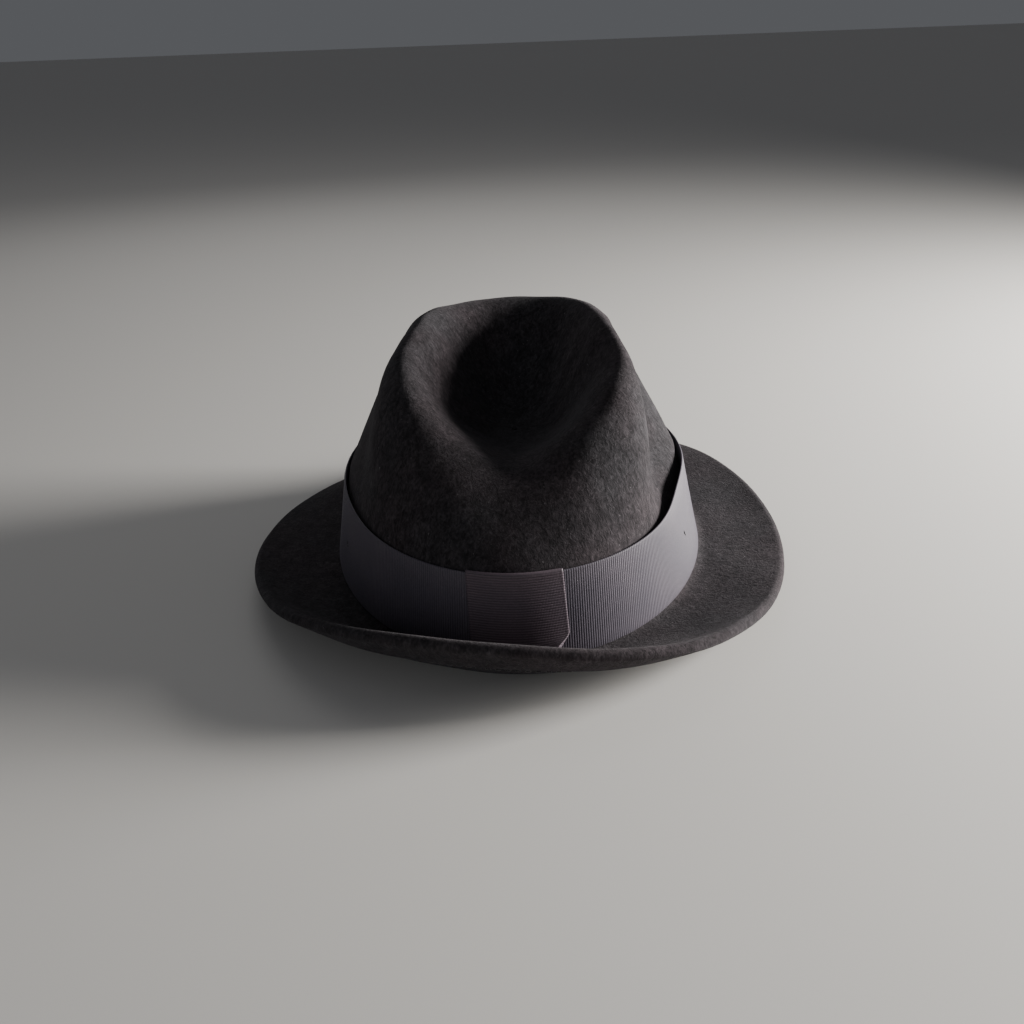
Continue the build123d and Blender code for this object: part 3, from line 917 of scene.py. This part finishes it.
def wall_frame(azimuth, station, depth):
    """A spot on the inside of the crown with its directions: along, up and towards the axis."""
    spot = layer_point(azimuth, station, depth)
    along = -unit(run_along(azimuth, station, depth, 0.01))
    inward = felt_normal(azimuth, station)
    return spot, np.stack([along, unit(np.cross(inward, along)), inward])


def strip(path, across, thick):
    """Flat ribbon along an open path: at each point a thin oval, as wide as across is long."""
    tangent = unit(np.gradient(path, axis=0))
    face = unit(np.cross(tangent, across))
    angle = (np.arange(12) / 12 * TURN)[:, None]
    ring = across[:, None] * np.cos(angle) + face[:, None] * np.sin(angle) * thick / 2
    return shell(path[:, None] + ring)


class HAT_OT_sweatband_bow(Operator):
    """Flat bow of narrow satin ribbon over the rear seam of the sweatband."""

    bl_idname = "hat.sweatband_bow"
    bl_label = "Sweatband bow"

    def execute(self, context):
        depth = INSIDE + SWEATBAND + 0.35 * MM
        spot, axes = wall_frame(*np.array([KEEPER_MIDDLE, BOW_STATION, depth]))
        t = np.linspace(0, 1, 33)[:, None]
        shells = []
        for side in (-1, 1):
            # a loop goes out flat, folds, and comes back on top of itself
            path = np.concatenate([side * 9.0 * np.sin(np.pi * t) ** 0.8, 0.5 * np.sin(TURN * t),
                                   0.25 + 1.35 * t + 0.5 * np.sin(np.pi * t)], 1) * MM
            width = np.concatenate([0 * t, 0.7 + 1.25 * np.sin(np.pi * t) ** 0.6, 0 * t], 1) * MM
            shells.append(strip(spot + path @ axes, width @ axes, 0.28 * MM))
            tail = [side * (0.3 + 4.2 * t), -0.5 - 6.2 * t, 0.7 + 0.6 * np.sin(2.6 * t)]
            tail = np.concatenate(tail, 1) * MM
            spread = np.concatenate([1.5 + 0 * t, side * (0.9 + 0 * t), 0 * t], 1) * MM
            shells.append(strip(spot + tail @ axes, spread @ axes, 0.28 * MM))
        angle = (np.arange(24) / 24 * TURN)[None]
        ball = np.linspace(-1, 1, 15)[1:-1, None]
        ring = (1 - ball**4) ** 0.5
        across, up, out = 1.45 * ring * np.cos(angle), 1.9 * ball + 0 * angle, 1.1 + ring * np.sin(angle)
        knot = np.stack([across, up, out], -1)
        shells.append(shell(spot + knot * MM @ axes))
        piece = piece_of("sweatband_bow", shells, bow_material())
        settle(piece, "bow", "sweatband_bow")
        return {"FINISHED"}


class HAT_OT_size_label(Operator):
    """Blank woven tag tucked behind the sweatband's top edge, with folded ends."""

    bl_idname = "hat.size_label"
    bl_label = "Size label"

    def execute(self, context):
        azimuth = np.radians(np.linspace(236, 248, 40))[None]
        places = np.linspace(16.0, 26.0, 18) * MM
        swell = 0.3 * MM * np.sin(np.linspace(0, np.pi, 40))[None] ** 0.5
        hem = 0.15 * MM * (np.abs(np.linspace(-1, 1, 40)) > 0.86)[None]
        near = INSIDE + SWEATBAND + 0.15 * MM + swell
        tag = layer_shell(azimuth, places, near, near + 0.35 * MM + hem, closed=False)
        piece = piece_of("size_label", [tag], woven_label_material())
        settle(piece, "label", "size_label")
        return {"FINISHED"}


# -------------------- lining
S_PIPING = 79.0 * MM
S_RIDGE = 125.0 * MM  # the tip stretches straight from its seam to here, under the crest
SEAM_HALF = 1.0 * MM  # the lining stops this far from the middle of its piping
LINING = 0.4 * MM
LINING_DEPTH = FELT + 1.2 * MM
PIPING_RADIUS = 0.6 * MM
SIDE_FLAT = (0.045, 0.52)
TIP_FLAT = (0.12, 0.155)
TIP_AREA = 0.0146  # of the oval in that rectangle


def lining_point(azimuth, station, depth):
    """Point of the lining: it follows the felt, and runs straight across the hollow of the crest."""
    share = np.clip((station - S_PIPING) / (S_RIDGE - S_PIPING), 0, 1)[..., None]
    seam = layer_point(azimuth, 0 * station + S_PIPING, depth)
    ridge = layer_point(azimuth, 0 * station + S_RIDGE, depth)
    across = (station > S_PIPING) & (station < S_RIDGE)
    return np.where(across[..., None], seam + (ridge - seam) * share, layer_point(azimuth, station, depth))


def gathers(azimuth, station):
    """Soft folds of the satin, deepest where it is sewn: sums of sines of the azimuth."""
    near_seams = 0.35 + 0.65 * np.exp(-(((station - S_PIPING) / (14 * MM)) ** 2))
    folds = 0.5 * np.sin(34 * azimuth + 0.8 * np.sin(5 * azimuth)) + 0.3 * np.sin(61 * azimuth + 1.0)
    return (0.45 + folds) * near_seams * 0.6 * MM


class HAT_OT_lining(Operator):
    """Satin lining: a side band, an oval tip in the dent, and piping over their seam."""

    bl_idname = "hat.lining"
    bl_label = "Lining"

    def execute(self, context):
        satin = satin_material()
        azimuth = (np.arange(480) / 480 * TURN)[None]
        low = context.scene.hat_sizes.sweatband_height + 2.0 * MM
        places = np.linspace(low, S_PIPING - SEAM_HALF, 40)
        depth = LINING_DEPTH + gathers(azimuth, places[:, None])
        side = layer_shell(azimuth, places, depth, depth + LINING)
        places = np.linspace(S_PIPING + SEAM_HALF, S_CENTRE - POLE_GAP, 60)[:, None] + 0 * azimuth
        azimuth = azimuth + 0 * places
        fade = 1 - smooth_step(S_PIPING + 8 * MM, S_CENTRE - 12 * MM, places)
        face = lining_point(azimuth, places, LINING_DEPTH + gathers(azimuth, places) * fade)
        # the thickness turns from inwards at the seam to downwards in the dent
        level = smooth_step(S_RIDGE - 30 * MM, S_RIDGE, places)[..., None]
        inward = felt_normal(azimuth, 0 * places + S_PIPING) * LINING
        back = face + level * np.array([0, 0, -LINING]) + inward * (1 - level)
        points = np.concatenate([face[::-1], back])
        tip = shell(points, uvs=points[..., :2])
        path = layer_point(azimuth[0], S_PIPING, LINING_DEPTH + LINING + PIPING_RADIUS + 0.2 * MM)
        piping = tube(path, PIPING_RADIUS)
        cord = thread_material("piping", (0.045, 0.04, 0.05), 0.35)
        for name, part, material, slot, flat, area in (
            ("lining_side", side, satin, "lining", SIDE_FLAT, None),
            ("lining_tip", tip, satin, "lining", TIP_FLAT, TIP_AREA),
            ("lining_piping", piping, cord, "piping", None, None),
        ):
            piece = piece_of(name, [part], material)
            settle(piece, slot, name)
        return {"FINISHED"}


# -------------------- stage
class HAT_OT_stage(Operator):
    """Pale floor, soft studio lights and the camera."""

    bl_idname = "hat.stage"
    bl_label = "Stage"

    def execute(self, context):
        scene = context.scene
        floor_points = 30 * np.array([[-1, -1, 0], [1, -1, 0], [1, 1, 0], [-1, 1, 0]], float)
        pale = Shader("pale floor")
        pale.set(Roughness=0.8, Base_Color=(0.62, 0.6, 0.57, 1))
        floor = mesh_piece("floor", floor_points, [(0, 1, 2, 3)], pale.material, smooth=False)
        world = bpy.data.worlds.new("soft studio")
        world.use_nodes = True
        sky = world.node_tree.nodes["Background"].inputs
        sky["Color"].default_value = (0.9, 0.93, 1, 1)
        sky["Strength"].default_value = 0.11
        scene.world = world
        for name, place, size, power, tint in (
            ("key", (0.95, 0.12, 0.24), 0.35, 36, (1, 0.98, 0.95)),
            ("fill", (-0.35, -1.1, 0.35), 0.8, 1.6, (0.93, 0.96, 1)),
            ("back", (-0.3, 0.9, 0.8), 0.7, 1.6, (1, 1, 1)),
        ):
            lamp = bpy.data.lights.new(name, "AREA")
            lamp.shape = "SQUARE"
            lamp.size = size
            lamp.energy = power
            lamp.color = tint
            light = bpy.data.objects.new(name, lamp)
            light.location = place
            aim = Vector((0, 0, 0.05)) - Vector(place)
            light.rotation_euler = aim.to_track_quat("-Z", "Y").to_euler()
            scene.collection.objects.link(light)
        lens = bpy.data.cameras.new("camera")
        lens.lens = 35.2
        lens.sensor_width = 36
        camera = bpy.data.objects.new("camera", lens)
        # place and directions in the crown's own axes, then turned into the frame
        place, pitch, yaw, roll = np.array([5.7, -420.9, 252.8]) * MM, 0.52, -0.02, -0.04
        level = math.cos(pitch)
        ahead = np.array([math.sin(yaw) * level, math.cos(yaw) * level, -math.sin(pitch)])
        right = np.array([math.cos(yaw), -math.sin(yaw), 0])
        above = np.cross(right, ahead)
        turned_right = right * math.cos(roll) + above * math.sin(roll)
        turned_above = above * math.cos(roll) - right * math.sin(roll)
        axes = np.stack([turned_right, turned_above, -ahead]) @ HAT_AXES
        spot = HAT_ORIGIN + place @ HAT_AXES
        matrix = Matrix([[*axes[:, i], spot[i]] for i in range(3)] + [[0, 0, 0, 1]])
        camera.matrix_world = matrix
        scene.collection.objects.link(camera)
        scene.camera = camera
        return {"FINISHED"}


OPERATORS = (
    HAT_OT_felt,
    HAT_OT_band,
    HAT_OT_keeper,
    HAT_OT_tacks,
    HAT_OT_brim_stitches,
    HAT_OT_sweatband,
    HAT_OT_sweatband_bow,
    HAT_OT_size_label,
    HAT_OT_lining,
    HAT_OT_stage,
)


class HAT_PT_panel(Panel):
    """Sidebar list of the hat's pieces."""

    bl_label = "Felt Fedora"
    bl_idname = "HAT_PT_panel"
    bl_space_type = "VIEW_3D"
    bl_region_type = "UI"
    bl_category = "Hat"

    def draw(self, context):
        for operator in OPERATORS:
            self.layout.operator(operator.bl_idname)


CLASSES = (HatColours, HatSizes, *OPERATORS, HAT_PT_panel)


def register():
    """Register the settings, the operators and the panel."""
    for cls in CLASSES:
        bpy.utils.register_class(cls)
    bpy.types.Scene.hat_colours = PointerProperty(type=HatColours)
    bpy.types.Scene.hat_sizes = PointerProperty(type=HatSizes)


def unregister():
    """Take everything out again."""
    del bpy.types.Scene.hat_sizes
    del bpy.types.Scene.hat_colours
    for cls in reversed(CLASSES):
        bpy.utils.unregister_class(cls)


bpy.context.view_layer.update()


def main():
    """Build every piece in order."""
    register()
    for operator in OPERATORS:
        group, name = operator.bl_idname.split(".")
        getattr(getattr(bpy.ops, group), name)()


if __name__ == "__main__":
    main()
